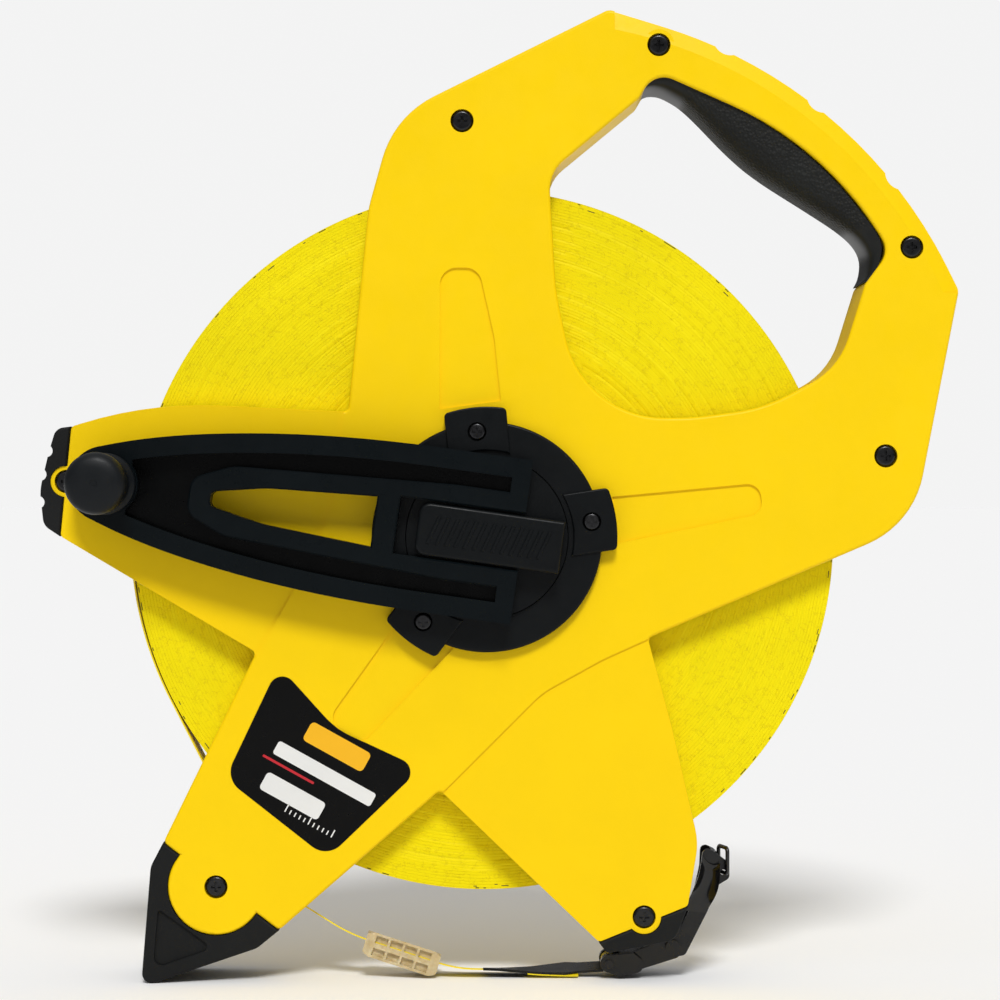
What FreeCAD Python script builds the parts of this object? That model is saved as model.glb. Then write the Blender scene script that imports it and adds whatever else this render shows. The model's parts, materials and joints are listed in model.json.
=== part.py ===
"""Surveyor tape reel: open star frame, wound tape, geared crank and end hook.

Units are millimetres. Outlines are drawn about the hub axis, X to the right and
Z up, seen from the front, which faces -Y. The whole reel is moved at the end so
that the origin lies at the middle of the base of its bounding box.
"""
import FreeCAD, Part
import math
import os

V = FreeCAD.Vector
AXIS = V(0, 1, 0)
CURVED = "Part::GeomBSplineCurve"

# Placing of the hub axis in the finished part
HUB_X = -4.53
HUB_Y = 21.5
HUB_Z = 160.81

# Frame
FACE = 17.0                 # outer faces of the shells lie at y = -FACE and +FACE
WALL = 2.5                  # face wall
SKIRT = 2.2                 # side wall
EDGE = 1.2                  # rounding of the outer edges
PACK_SPACE_R = 131.0        # room in which the wound tape turns
PACK_SPACE_Y = 8.0          # half depth of that room
SEAM = 0.15                 # seam between rubber and shell
GROOVE_DEPTH = 0.9
STEP_DEPTH = 0.7

# Outlines: (x, z) or (x, z, corner radius)
FRAME = [(-50, 45.2, 2), (-42.8, 118.3, 40), (-33.5, 151.7, 36), (43.9, 190.1, 4),
         (133.9, 162.2, 170), (170.1, 89.1, 3), (153.7, 4.5, 34), (58, -36.5, 2),
         (66.2, -66.8, 80), (76.2, -110, 25), (72.4, -133, 2), (40.3, -146, 2),
         (-16.9, -91.3, 2), (-74.9, -141.7, 2), (-116.6, -110, 2), (-83.2, -41.6, 2),
         (-153.7, 0.2, 2), (-149.8, 39.8, 2), (-121.7, 48.6, 145)]
OPENING = [(22.3, 131.2, 14), (54.7, 157.9, 4), (60.5, 167.9, 8), (121.3, 140.9, 120),
           (145.1, 103.1, 8), (136.1, 90.9, 3), (126.7, 60.7, 28), (99.4, 46.3, 60),
           (74.2, 43, 80), (34.5, 42.7, 36), (24.8, 88.7, 80)]
LEFT_CAP = [(-149.8, 39.8), (-155.2, 39.1, 4), (-157.8, 30.4, 8), (-161, 16.7, 20),
            (-159.6, 4.1, 5), (-153.7, 0.2)]
LOWER_LEFT_CAP = [(-116.6, -110), (-121.1, -118.6, 8), (-124.6, -162.2, 3.5),
                  (-82.8, -148.1, 8), (-74.9, -141.7)]
LOWER_RIGHT_CAP = [(40.3, -146), (43.2, -149.9, 2), (67.7, -145.2, 6), (72.4, -133)]
CAP_POCKET = [(-118.5, -133.7, 1), (-120.3, -155.6, 3), (-98.5, -148, 2)]

# Screws through both shells, (x, z)
SHELL_SCREWS = [(-9, 149.9), (61.9, 177.3), (153, 104.4), (143.6, 29.2),
                (-151.6, 20), (-97.6, -126), (56.6, -136.9)]
LEFT_BOSS_R = 5.6
LOWER_LEFT_BOSS_R = 17.4
LOWER_RIGHT_BOSS_R = 6.2
CAP_BOSSES = [(4, LEFT_BOSS_R), (5, LOWER_LEFT_BOSS_R), (6, LOWER_RIGHT_BOSS_R)]
HEAD_R = 4.2
HEAD_DEPTH = 3.0
SHANK_R = 1.75

# Tread grooves of the left foot cap, as rods across its end
TREADS = [(-158.6, 31.0), (-160.8, 22.5), (-161.5, 12.5)]
TREAD_R = 2.2

# Face details
GROOVE_UP = [(-17, 46), (-16.9, 97, 6), (-3, 97, 6), (2.6, 72, 20), (5, 49)]
GROOVE_RIGHT = [(45, 14.5), (98, 19.5, 5), (99.5, 8.5, 5), (46, -2.5)]
GROOVE_DOWN = [(-29, -26), (-57.5, -66, 6), (-46, -76, 6), (-12, -40)]
STEP_LEFT = [(-51, 50), (-54.7, 16, 40), (-62, -6, 30), (-83.2, -43), (-170, -8), (-165, 60)]
STEP_LOW = [(64, -34), (41.8, -44, 40), (20, -56, 30), (-17, -93), (30, -170), (90, -160),
            (90, -60)]
LABEL = [(-75, -46.3, 5), (-54.5, -69, 30), (-23.8, -83.3, 5), (-57.6, -115.7, 8),
         (-94.3, -86.9, 8)]

# Handle rim: corner of the frame that its long arc rounds, bevel and finger notches
HANDLE_RIM = 4
BEVEL_WIDTH = 5.5
BEVEL_DEPTH = 2.2
NOTCH_ANGLES = (39, 52, 65)
NOTCH_R = 6.0
NOTCH_DEPTH = 1.3

# Grip
GRIP_HALF_DEPTH = 15.4
GRIP_EDGE = 2.0
GRIP_CURVE = [(52.5, 156.2), (60.8, 160.8), (73.2, 155), (92.7, 136), (108.9, 124.4),
              (122, 115.8), (134.2, 106.4), (137.4, 98.5), (135.6, 89.3)]

# Tape
TAPE_WIDTH = 12.7
PACK_INNER_R = 54.0
PACK_OUTER_R = 128.8
LEAD_R = 129.5              # the run leaves the pack as a tangent of this radius
LEAD_ANGLE = 207.3          # direction of the tangent point from the hub
LEAD_THICK = 0.6
ROLLER_R = 5.0
THROAT_START = 16.0         # how far along the run the opening in the leg starts
THROAT_HEIGHT = 5.2
THROAT_Y = 7.2
TAPE_EXIT = (-50.1, -145.6)
TAPE_LOW = (-11.1, -158.3)
EXIT_SLOPE = -31.8          # slope of the tape between the roller and the stop
STOP_START = (-42.5, -148.1)
STOP_END = (-19.7, -155.5)
STRAP_START = (-1.5, -158.4)
STOP_HALF_HEIGHT = 4.6
STOP_WIDTH = 14.6
STOP_DRAFT = 9.0            # slope of the top of the stop, down towards the back
CELL_DEPTH = 1.6

# End hook
PIN = (44.3, -155.2)
PIN_R = 1.5
RIVET = (67.6, -149.2)
RIVET_R = 1.5
HOOK_BAR_Y = 4.8
CHEEK_Y = (5.1, 6.7)
RING_CENTRE = (86.3, -118.3)
RING_R = 4.6
RING_WIRE_R = 0.8

# Hub
HUB_BORE_R = 32.0
RETAINER_INNER_R = 29.3
RETAINER_OUTER_R = 41.4
RETAINER_FRONT = -21.0
LUG_R = 46.8
LUG_HALF_WIDTH = 11.2
LUG_INNER_R = 31.0
LUG_RISE = 1.0              # how far the lugs stand proud of the ring
LUG_CORNER = 1.8
LUG_ANGLES = [95.4, 8.4, 233.0]
RING_SCREW_R = 38.0
DISC_R = 28.9
DISC_FLANGE_R = 31.5
DISC_FRONT = -22.5
AXLE_R = 4.0
REAR_CUP_R = 11.0           # pocket in the back that holds the axle nut
REAR_CUP_FLOOR = 12.8
REAR_CUP_BACK = 10.2
DRUM_BACK = 9.0
RUN_FIT = 0.05

# Gears: ring fixed in the front shell, sun on the drum, planets on the crank disc
MODULE = 1.0
RING_TEETH = 60
SUN_TEETH = 30
PLANET_TEETH = 15
PRESSURE_ANGLE = math.radians(25)
ADDENDUM = 0.8
DEDENDUM = 1.0
BACKLASH = 0.12             # taken off each tooth, and added to each ring space
ORBIT_R = (SUN_TEETH + PLANET_TEETH) * MODULE / 2
GEAR_Y = (-14.2, -9.6)

# Crank arm: x runs from the hub axis towards the knob
CRANK_ANGLE = 172.0
ARM_BACK = -22.5
ARM_FRONT = -31.0
KNOB_X = 136.8
KNOB_END_R = 13.4
KNOB_BOSS_R = 11.5
CHANNEL_END = 128.5
ARM_SIDE = [(15, 29.4), (52, 28.5), (95, 24), (126, 17.6), (140, 13.2)]
ARM_LEG_END = -12.5
RIB = 7.0
RIB_EDGE = 0.6              # bevel on the ribs of the arm
LOOP_SIDE = [(-20, 17.1), (14, 17.1, 80), (93, 12.6, 16), (107, 6.4, 5.8)]
LEAF_SIDE = [(40.5, 9), (80, 6.4, 40), (99.2, 2.6, 2.4)]
LEG_INNER = 10.2
CROSSBAR_X = 32.3
ARM_SCREWS = [(-5, 13.7), (9, 13.7), (-5, -13.7), (9, -13.7)]
KNOB_R = 10.9
KNOB_TOP = -60.0


def turned(shape, angle):
    """Turn a shape about the hub axis, anticlockwise seen from the front."""
    copy = shape.copy()
    copy.rotate(V(0, 0, 0), V(0, -1, 0), angle)
    return copy


def polar(radius, angle):
    """Point (x, z) at a radius and an angle in degrees from +X."""
    turn = math.radians(angle)
    return radius * math.cos(turn), radius * math.sin(turn)


def rod(x, z, radius, y0, y1):
    """Cylinder along Y."""
    return Part.makeCylinder(radius, y1 - y0, V(x, y0, z), AXIS)


def tube(x, z, inner, outer, y0, y1):
    return rod(x, z, outer, y0, y1).cut(rod(x, z, inner, y0 - 1, y1 + 1))


def corner(before, point, after, radius):
    """Tangent points and middle of the arc that rounds one corner."""
    p = V(point[0], 0, point[1])
    a = V(before[0], 0, before[1]).sub(p).normalize()
    b = V(after[0], 0, after[1]).sub(p).normalize()
    half = a.getAngle(b) / 2
    reach = radius / math.tan(half)
    middle = (a + b).normalize() * (radius / math.sin(half) - radius)
    return p + a * reach, p + middle, p + b * reach


def corner_centre(before, point, after, radius):
    """Centre of the arc that rounds one corner, (x, z)."""
    p = V(point[0], 0, point[1])
    middle = corner(before, point, after, radius)[1]
    centre = middle + (middle - p).normalize() * radius
    return centre.x, centre.z


def outline(points):
    """Closed face in the XZ plane, with the corners rounded that give a radius."""
    ends = []
    arcs = {}
    for i, point in enumerate(points):
        here = V(point[0], 0, point[1])
        start, end = here, here
        if len(point) > 2:
            start, middle, end = corner(points[i - 1], point, points[(i + 1) % len(points)], point[2])
            arcs[i] = Part.Arc(start, middle, end).toShape()
        ends.append((start, end))
    edges = []
    for i in range(len(points)):
        if i in arcs:
            edges.append(arcs[i])
        edges.append(Part.LineSegment(ends[i][1], ends[(i + 1) % len(points)][0]).toShape())
    return Part.Face(Part.Wire(edges))


def slab(face, y0, y1):
    """Solid from a flat XZ face, between two depths."""
    solid = face.extrude(V(0, y1 - y0, 0))
    solid.translate(V(0, y0, 0))
    return solid


def plate(points, y0, y1):
    return slab(outline(points), y0, y1)


def edges_at(shape, depth, keep=lambda point: True):
    """Edges that lie wholly at one depth and whose middle passes a test."""
    found = []
    for edge in shape.Edges:
        box = edge.BoundBox
        if abs(box.YMin - depth) < 1e-4 and abs(box.YMax - depth) < 1e-4 and keep(box.Center):
            found.append(edge)
    return found


def mirrored(shape):
    """The same shape on the other side of the parting plane."""
    return shape.mirror(V(0, 0, 0), AXIS)


def band(points, thickness, y0, y1):
    """Strip of even thickness along a path of straight runs and tangent arcs."""
    left = []
    right = []
    for i, point in enumerate(points):
        here = V(point[0], 0, point[1])
        into = here - V(points[i - 1][0], 0, points[i - 1][1]) if i else None
        out = V(points[i + 1][0], 0, points[i + 1][1]) - here if i + 1 < len(points) else into
        into = (into or out).normalize()
        out = out.normalize()
        bend = into.x * out.z - into.z * out.x
        mean = (into + out).normalize()
        normal = V(-mean.z, 0, mean.x) * (thickness / 2 / (mean.x * out.x + mean.z * out.z))
        sides = ((left, 1), (right, -1))
        for side, sign in sides:
            spot = here + normal * sign
            if len(point) > 2:
                inner = -sign if bend > 0 else sign
                side.append((spot.x, spot.z, point[2] + inner * thickness / 2))
            else:
                side.append((spot.x, spot.z))
    return plate(left + right[::-1], y0, y1)


# ---------------------------------------------------------------- frame

def frame_face():
    """Outline of the star frame with its handle opening and screw bosses."""
    solid = plate(FRAME, 0, 1)
    for index, radius in CAP_BOSSES:
        solid = solid.fuse(rod(*SHELL_SCREWS[index], radius, 0, 1))
    solid = solid.removeSplitter().cut(plate(OPENING, -1, 2))
    return [face for face in solid.Faces if face.BoundBox.YMax < 1e-4][0]


def rim_centre():
    """Centre of the long arc of the handle's outer rim, and its radius."""
    at = HANDLE_RIM
    return corner_centre(FRAME[at - 1], FRAME[at], FRAME[at + 1], FRAME[at][2]), FRAME[at][2]


def rim_bevel():
    """Wide bevel along the outer rim of the handle."""
    (x, z), radius = rim_centre()
    top = [V(radius - BEVEL_WIDTH, -FACE, 0), V(radius + 4, -FACE, 0),
           V(radius + 4, -FACE + BEVEL_DEPTH * (BEVEL_WIDTH + 4) / BEVEL_WIDTH, 0)]
    ring = Part.Face(Part.makePolygon(top + top[:1])).revolve(V(0, 0, 0), AXIS, 360)
    ring.translate(V(x, 0, z))
    return ring.common(Part.makeBox(200, 60, 200, V(46, -40, 88)))


def finger_steps():
    """Three shallow notches across the outer rim of the handle."""
    (x, z), radius = rim_centre()
    notches = []
    for angle in NOTCH_ANGLES:
        dx, dz = polar(radius + NOTCH_R - NOTCH_DEPTH, angle)
        notches.append(rod(x + dx, z + dz, NOTCH_R, -FACE - 1, 1))
    return notches


def shell_blank():
    """Front half of the frame, hollow behind its face."""
    solid = slab(outline(FRAME).cut(outline(OPENING)).Faces[0], -FACE, 0)
    solid = solid.makeFillet(EDGE, edges_at(solid, -FACE))
    for index, radius in CAP_BOSSES:
        disc = rod(*SHELL_SCREWS[index], radius, -FACE, 0)
        solid = solid.fuse(disc.makeFillet(EDGE, edges_at(disc, -FACE)))
    solid = solid.cut([rim_bevel()] + finger_steps())
    cavity = slab(frame_face().makeOffset2D(-SKIRT), -FACE + WALL, 1)
    return solid.cut(cavity)


def screw_towers(solid, hole_r, head):
    """Add the screw bosses of the front half, and bore them."""
    for x, z in SHELL_SCREWS:
        solid = solid.fuse(rod(x, z, 5.6, -FACE + 0.5, 0))
    for x, z in SHELL_SCREWS:
        solid = solid.cut(rod(x, z, hole_r, -FACE - 1, 1) if head else
                          rod(x, z, hole_r, -FACE + WALL + 1.5, 1))
        if head:
            solid = solid.cut(rod(x, z, HEAD_R, -FACE - 1, -FACE + HEAD_DEPTH))
    return solid


def guide_centre():
    """Centre of the roller that the tape turns over in the lower left leg."""
    path = lead_points()
    return corner_centre(path[0], path[1], path[2], path[1][2])


def tape_throat():
    """Room for the tape through the lower left leg."""
    path = lead_points()
    share = THROAT_START / math.dist(path[0], path[1][:2])
    first = [a + (b - a) * share for a, b in zip(path[0], path[1])]
    return band([first, path[1], path[2][:2]], THROAT_HEIGHT, -THROAT_Y, THROAT_Y)


def guide_bosses():
    x, z = guide_centre()
    boss = rod(x, z, 4.2, -FACE + 0.5, -7.3)
    return boss


def make_shell(front):
    solid = shell_blank()
    solid = screw_towers(solid, SHANK_R + RUN_FIT, front)
    solid = solid.fuse(guide_bosses())
    x, z = guide_centre()
    solid = solid.cut(rod(x, z, PIN_R + RUN_FIT, -13.2, 0))
    solid = solid.cut(rod(0, 0, PACK_SPACE_R, -PACK_SPACE_Y, 1))
    solid = solid.cut(tape_throat())
    if front:
        solid = solid.cut(rod(0, 0, HUB_BORE_R, -FACE - 1, 0))
        for groove in (GROOVE_UP, GROOVE_RIGHT, GROOVE_DOWN):
            solid = solid.cut(plate(groove, -FACE - 1, -FACE + GROOVE_DEPTH))
        for region in (STEP_LEFT, STEP_LOW):
            solid = solid.cut(plate(region, -FACE - 1, -FACE + STEP_DEPTH))
        for angle in LUG_ANGLES:
            x, z = polar(RING_SCREW_R, angle)
            solid = solid.cut(rod(x, z, SHANK_R + RUN_FIT, -FACE - 1, 0))
        solid = solid.cut(plate(LABEL, -FACE - 1, -FACE + 0.3))
    else:
        solid = solid.fuse(rod(0, 0, REAR_CUP_R + SKIRT, -FACE + 0.5, -REAR_CUP_BACK))
        solid = solid.cut(rod(0, 0, REAR_CUP_R, -FACE - 1, -REAR_CUP_FLOOR))
        solid = solid.cut(rod(0, 0, AXLE_R, -FACE - 1, 0))
        solid = mirrored(solid)
    return solid


def make_cap(points, shift, boss, boss_r):
    """Rubber foot cap over the end of one leg, both halves deep."""
    face = outline(points)
    solid = slab(face, -FACE, FACE)
    solid = solid.makeFillet(0.9, edges_at(solid, -FACE) + edges_at(solid, FACE))
    solid.translate(V(shift[0] * SEAM, 0, shift[1] * SEAM))
    x, z = SHELL_SCREWS[boss]
    return solid.cut(rod(x, z, boss_r + SEAM, -FACE - 1, FACE + 1))


def make_left_cap():
    cap = make_cap(LEFT_CAP, (-1, 0.1), 4, LEFT_BOSS_R)
    return cap.cut([rod(x, z, TREAD_R, -FACE - 1, FACE + 1) for x, z in TREADS])


def make_lower_left_cap():
    cap = make_cap(LOWER_LEFT_CAP, (-0.6, -0.8), 5, LOWER_LEFT_BOSS_R)
    pocket = plate(CAP_POCKET, -FACE - 1, -FACE + 1.2)
    return cap.cut(pocket).cut(mirrored(pocket))


def make_lower_right_cap():
    return make_cap(LOWER_RIGHT_CAP, (0.37, -0.93), 6, LOWER_RIGHT_BOSS_R)


def make_grip():
    """Rubber palm swell that fills the upper side of the handle opening."""
    points = [V(x, 0, z) for x, z in GRIP_CURVE]
    curve = Part.BSplineCurve()
    curve.interpolate(points)
    far = [V(150, 0, 92), V(150, 0, 180), V(50, 0, 180)]
    edges = [curve.toShape()]
    corners = [points[-1]] + far + [points[0]]
    for start, end in zip(corners, corners[1:]):
        edges.append(Part.LineSegment(start, end).toShape())
    region = Part.Face(Part.Wire(edges))
    inside = outline(OPENING).makeOffset2D(-SEAM)
    face = region.common(inside).Faces[0]
    solid = slab(face, -GRIP_HALF_DEPTH, GRIP_HALF_DEPTH)

    def near_curve(point):
        return curve.toShape().distToShape(Part.Vertex(V(point.x, 0, point.z)))[0] < 1
    rims = edges_at(solid, -GRIP_HALF_DEPTH, near_curve) + edges_at(solid, GRIP_HALF_DEPTH, near_curve)
    return solid.makeFillet(GRIP_EDGE, rims)


def make_label():
    face = outline(LABEL).makeOffset2D(-0.1)
    return slab(face, -FACE - 0.15, -FACE + 0.3)


def pan_screw(x, z, head_r, front, head, length):
    """Screw along Y with a rounded head and a cross recess."""
    screw = rod(x, z, head_r, front, front + head)
    screw = screw.makeFillet(head * 0.45, edges_at(screw, front))
    screw = screw.fuse(rod(x, z, SHANK_R, front + head - 0.1, front + length))
    for size in ((1.0, 3.6), (3.6, 1.0)):
        slot = Part.makeBox(size[0], 1.4, size[1], V(x - size[0] / 2, front - 0.1, z - size[1] / 2))
        screw = screw.cut(slot)
    return screw


def make_shell_screws():
    front = -FACE + 0.4
    return [pan_screw(x, z, HEAD_R - 0.3, front, HEAD_DEPTH - 0.45, 28) for x, z in SHELL_SCREWS]


# ---------------------------------------------------------------- hub

def retainer_lug():
    """One lug of the retainer ring, along +X, with rounded outer corners and front edges."""
    front = RETAINER_FRONT - LUG_RISE
    lug = tube(0, 0, LUG_INNER_R, LUG_R, front, -FACE)
    bar = Part.makeBox(LUG_R, 10, 2 * LUG_HALF_WIDTH, V(20, front - 1, -LUG_HALF_WIDTH))
    lug = lug.common(bar)
    corners = [edge for edge in lug.Edges if edge.BoundBox.XLength < 0.1 and edge.BoundBox.YLength > 2
               and edge.BoundBox.XMin > RETAINER_OUTER_R]
    lug = lug.makeFillet(LUG_CORNER, corners)
    return lug.makeFillet(0.6, edges_at(lug, front))


def make_retainer():
    """Ring that holds the crank disc in, with three screwed lugs."""
    ring = rod(0, 0, RETAINER_OUTER_R, RETAINER_FRONT, -FACE)
    ring = ring.makeFillet(0.9, edges_at(ring, RETAINER_FRONT))
    ring = ring.fuse([turned(retainer_lug(), angle) for angle in LUG_ANGLES])
    front = RETAINER_FRONT - LUG_RISE
    ring = ring.cut(rod(0, 0, RETAINER_INNER_R, front - 1, 0))
    for angle in LUG_ANGLES:
        x, z = polar(RING_SCREW_R, angle)
        ring = ring.cut(rod(x, z, 3.4, front - 1, front + 2.4))
        ring = ring.cut(rod(x, z, SHANK_R + RUN_FIT, front - 1, 0))
    return ring


def make_ring_screws():
    screws = []
    for angle in LUG_ANGLES:
        x, z = polar(RING_SCREW_R, angle)
        screws.append(pan_screw(x, z, 3.1, RETAINER_FRONT - LUG_RISE + 0.3, 2.0, 12.5))
    return screws


def tooth_angle(teeth, radius, thin):
    """Half of the angle that one tooth spans at a radius."""
    pitch = teeth * MODULE / 2
    slope = math.acos(min(1.0, pitch * math.cos(PRESSURE_ANGLE) / radius))
    rise = math.tan(PRESSURE_ANGLE) - PRESSURE_ANGLE
    return math.pi / teeth / 2 - thin / pitch + rise - (math.tan(slope) - slope)


def gear_face(teeth, tip, root, thin):
    """Gear outline with involute flanks; a tooth points along +X."""
    base = teeth * MODULE / 2 * math.cos(PRESSURE_ANGLE)
    low = max(base, root)
    levels = [low + (tip - low) * step / 3 for step in range(4)]
    edges = []
    first = None
    last = None

    def spot(radius, angle):
        return V(radius * math.cos(angle), 0, radius * math.sin(angle))
    for tooth in range(teeth):
        centre = 2 * math.pi * tooth / teeth
        rising = [spot(r, centre - tooth_angle(teeth, r, thin)) for r in levels]
        falling = [spot(r, centre + tooth_angle(teeth, r, thin)) for r in reversed(levels)]
        foot_in = spot(root, centre - tooth_angle(teeth, low, thin))
        foot_out = spot(root, centre + tooth_angle(teeth, low, thin))
        if last is not None:
            valley = spot(root, centre - math.pi / teeth)
            edges.append(Part.Arc(last, valley, foot_in).toShape())
        else:
            first = foot_in
        if low > root + 1e-6:
            edges.append(Part.LineSegment(foot_in, rising[0]).toShape())
        for flank in (rising, falling):
            curve = Part.BSplineCurve()
            curve.interpolate(flank)
            edges.append(curve.toShape())
            if flank is rising:
                edges.append(Part.Arc(rising[-1], spot(tip, centre), falling[0]).toShape())
        if low > root + 1e-6:
            edges.append(Part.LineSegment(falling[-1], foot_out).toShape())
        last = foot_out
    edges.append(Part.Arc(last, spot(root, -math.pi / teeth), first).toShape())
    return Part.Face(Part.Wire(edges))


def make_gear(teeth):
    pitch = teeth * MODULE / 2
    return slab(gear_face(teeth, pitch + ADDENDUM, pitch - DEDENDUM, BACKLASH / 2), *GEAR_Y)


def make_sun():
    gear = make_gear(SUN_TEETH)
    boss = rod(0, 0, 9, GEAR_Y[1], -6.5)
    return gear.fuse(boss).cut(rod(0, 0, AXLE_R + 0.3, -20, 0))


def make_planet(angle):
    """Planet at its place, meshed with the sun and the ring."""
    gear = make_gear(PLANET_TEETH).cut(rod(0, 0, 2.5 + RUN_FIT, -20, 0))
    gear.translate(V(ORBIT_R, 0, 0))
    return turned(gear, angle)


def make_ring_gear():
    pitch = RING_TEETH * MODULE / 2
    spaces = gear_face(RING_TEETH, pitch + DEDENDUM, pitch - ADDENDUM, -BACKLASH / 2)
    ring = rod(0, 0, 43, -FACE + WALL, -8.1).cut(slab(spaces, -15, -7))
    for angle in LUG_ANGLES:
        x, z = polar(RING_SCREW_R, angle)
        ring = ring.cut(rod(x, z, SHANK_R + RUN_FIT, -20, 0))
    return ring


def make_crank_disc():
    """Disc in the retainer ring; it carries the planets and the crank arm."""
    disc = rod(0, 0, DISC_R, DISC_FRONT, -14.8)
    disc = disc.fuse(rod(0, 0, DISC_FLANGE_R, -16.8, -14.8))
    disc = disc.cut(rod(0, 0, AXLE_R + RUN_FIT, -20.5, 0))
    for x, z in crank_screw_places():
        disc = disc.cut(rod(x, z, SHANK_R + RUN_FIT, -30, 0)).cut(rod(x, z, 3.2, -17.2, 0))
    for angle in (0, 120, 240):
        x, z = polar(ORBIT_R, angle)
        disc = disc.cut(rod(x, z, 2.5, -18, 0))
    return disc


def crank_screw_places():
    """Four screws from behind the disc into the inner ribs of the arm."""
    places = []
    for x, z in ARM_SCREWS:
        spot = turned(Part.Vertex(V(x, 0, z)), CRANK_ANGLE).Point
        places.append((spot.x, spot.z))
    return places


def make_crank_screws():
    screws = []
    for x, z in crank_screw_places():
        screws.append(rod(x, z, 2.9, -17.2, -15.4).fuse(rod(x, z, SHANK_R, -28, -17.2)))
    return screws


def make_planet_pins():
    return [rod(*polar(ORBIT_R, angle), 2.5, -18, -8.3) for angle in (0, 120, 240)]


def make_planet_clips():
    return [tube(*polar(ORBIT_R, angle), 2.5, 4.2, -9.3, -8.7) for angle in (0, 120, 240)]


def side_curve(points, inset, side):
    """Curve along one side of the arm, moved inwards by an inset."""
    curve = Part.BSplineCurve()
    curve.interpolate([V(x, 0, side * (half - inset)) for x, half in points])
    return curve.toShape()


def closed_face(edges):
    return Part.Face(Part.Wire(Part.__sortEdges__(edges)))


def line(start, end):
    return Part.LineSegment(V(start[0], 0, start[1]), V(end[0], 0, end[1])).toShape()


def arm_face(inset):
    """Outline of the whole arm, or of its channel when inset by the rib."""
    back = ARM_LEG_END + inset * 0.93
    first = ARM_SIDE[0]
    last = ARM_SIDE[-1]
    tip = KNOB_X + KNOB_END_R - inset * 2
    edges = []
    for side in (1, -1):
        half = first[1] - inset
        edges.append(line((back, side * half), (first[0], side * half)))
        edges.append(side_curve(ARM_SIDE, inset, side))
    edges.append(line((back, first[1] - inset), (back, inset - first[1])))
    upper = V(last[0], 0, last[1] - inset)
    lower = V(last[0], 0, inset - last[1])
    edges.append(Part.Arc(upper, V(tip, 0, 0), lower).toShape())
    return closed_face(edges)


def along_arm(side_points):
    """Face that is the same on both sides of the arm's middle line."""
    other = [(point[0], -point[1], *point[2:]) for point in reversed(side_points)]
    return outline(side_points + other)


def make_crank_arm():
    """Wishbone arm: outer rib, channel and inner loop, with two legs on the disc."""
    arm = slab(arm_face(0), ARM_FRONT, ARM_BACK)
    loop = slab(along_arm(LOOP_SIDE), ARM_FRONT - 1, ARM_BACK)
    channel = slab(arm_face(RIB), ARM_FRONT - 1, ARM_BACK - 2.5)
    boss = rod(KNOB_X, 0, KNOB_BOSS_R, ARM_FRONT - 1, ARM_BACK)
    end = Part.makeBox(40, 20, 80, V(CHANNEL_END, ARM_FRONT - 2, -40))
    arm = arm.cut(channel.cut([loop, boss, end]))
    leaf = slab(along_arm(LEAF_SIDE), -40, 0)

    def in_loop(point):
        return abs(point.z) < LOOP_SIDE[0][1] + 0.1 and point.x < LOOP_SIDE[-1][0] + 1
    gap = Part.makeBox(CROSSBAR_X - ARM_LEG_END + 1, 40, 2 * LEG_INNER, V(ARM_LEG_END - 1, -40, -LEG_INNER))
    arm = arm.cut(leaf).cut(gap)
    inner = [edge for edge in edges_at(arm, ARM_FRONT, in_loop) if edge.Curve.TypeId != CURVED]
    arm = arm.makeChamfer(RIB_EDGE, inner)
    for x, z in ARM_SCREWS:
        arm = arm.cut(rod(x, z, SHANK_R, -28, 0))
    arm = arm.cut(rod(KNOB_X, 0, 3.0, -40, 0))
    return turned(arm, CRANK_ANGLE)


def make_crank_block():
    """Raised block across the middle of the disc, between the legs of the arm."""
    block = plate([(25, 9.4, 4), (25, -9.4, 4), (-27, -9.4), (-27, 9.4)], ARM_FRONT - 0.6, DISC_FRONT)
    block = block.common(rod(0, 0, DISC_R, -40, 0))
    block = block.makeFillet(1.2, edges_at(block, ARM_FRONT - 0.6))
    return turned(block, CRANK_ANGLE)


def make_knob_stud():
    x, z = polar(KNOB_X, CRANK_ANGLE)
    stud = rod(x, z, 3.0, -52, ARM_BACK).fuse(rod(x, z, 5.0, -54, -52))
    return stud.fuse(rod(x, z, 5.5, ARM_BACK, ARM_BACK + 1.2))


def make_knob():
    """Turning knob with a base collar, a slight waist and a domed top."""
    profile = [V(KNOB_R, 0, 0), V(KNOB_R, 0, 3.0), V(8.9, 0, 5.2), V(9.4, 0, 14), V(KNOB_R, 0, 22)]
    edges = [Part.LineSegment(V(0, 0, 0), profile[0]).toShape(),
             Part.LineSegment(profile[0], profile[1]).toShape()]
    waist = Part.BSplineCurve()
    waist.interpolate(profile[1:])
    edges.append(waist.toShape())
    height = ARM_FRONT - 0.5 - KNOB_TOP
    edges.append(Part.Arc(profile[-1], V(8.4, 0, height - 2.4), V(2, 0, height)).toShape())
    edges.append(Part.LineSegment(V(2, 0, height), V(0, 0, height)).toShape())
    edges.append(Part.LineSegment(V(0, 0, height), V(0, 0, 0)).toShape())
    knob = Part.Face(Part.Wire(edges)).revolve(V(0, 0, 0), V(0, 0, 1), 360)
    knob.rotate(V(0, 0, 0), V(1, 0, 0), 90)
    x, z = polar(KNOB_X, CRANK_ANGLE)
    knob.translate(V(x, ARM_FRONT - 0.5, z))
    knob = knob.cut(rod(x, z, 3.0 + RUN_FIT, -52, 0))
    return knob.cut(rod(x, z, 5.0 + RUN_FIT * 2, -54.3, -51.7))


def make_axle():
    axle = rod(0, 0, AXLE_R, -20.2, FACE - 0.6)
    return axle.fuse(rod(0, 0, 9, DRUM_BACK + 0.3, REAR_CUP_BACK))


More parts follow.
